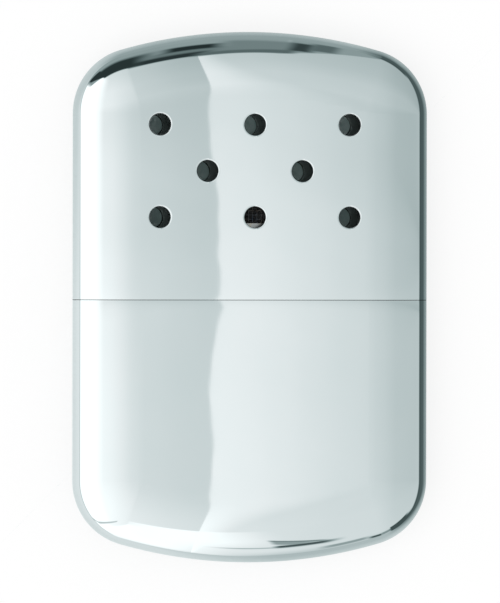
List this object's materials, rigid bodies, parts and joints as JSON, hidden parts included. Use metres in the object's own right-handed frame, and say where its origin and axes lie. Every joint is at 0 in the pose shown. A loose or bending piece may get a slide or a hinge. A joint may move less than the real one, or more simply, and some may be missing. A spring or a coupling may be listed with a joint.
{
  "type": "catalytic hand warmer",
  "caption": "Flat pocket hand warmer in polished chrome: a vented pull-off lid over a cotton-packed fuel tank, with a clip-on catalytic burner on the filler neck.",
  "frame": {"origin": "middle of the flat rear face, on the surface that the warmer lies on", "axes": "+Y along the warmer's length, towards the lid; +Z through its thickness, out of the front face; +X across its width, to the right seen from the front with the lid at the top"},
  "size_m": [0.0666, 0.099, 0.013],
  "materials": {
    "polished_chrome": "mirror polished",
    "brushed_plate": "drawn, satin",
    "burner_steel": "stamped, satin",
    "wire_cloth": "woven",
    "felt": "pressed felt",
    "cotton": "loose wadding",
    "glass_wool": "loose wool",
    "catalyst_fibre": "matted fibre"
  },
  "bodies": {
    "tank": {"tank_shell": "polished_chrome", "tank_collar": "brushed_plate", "neck_tube": "brushed_plate", "wick_screen": "burner_steel", "wick_pad": "felt", "cotton_lower": "cotton", "cotton_middle": "cotton", "cotton_upper": "cotton"},
    "burner": {"burner_base": "burner_steel", "burner_floor_screen": "burner_steel", "heat_pad": "glass_wool", "burner_frame_front": "burner_steel", "burner_frame_rear": "burner_steel", "window_screen_front": "wire_cloth", "window_screen_rear": "wire_cloth", "catalyst_carrier": "wire_cloth", "catalyst_front": "catalyst_fibre", "catalyst_rear": "catalyst_fibre", "burner_cap": "burner_steel"},
    "lid": {"lid_shell": "polished_chrome"}
  },
  "joints": [
    {"name": "lid_pull", "type": "slide", "parent": "tank", "child": "lid", "axis": [0, 1, 0], "range_m": [0, 0.045]},
    {"name": "burner_pull", "type": "slide", "parent": "tank", "child": "burner", "axis": [0, 1, 0], "range_m": [0, 0.01]}
  ]
}
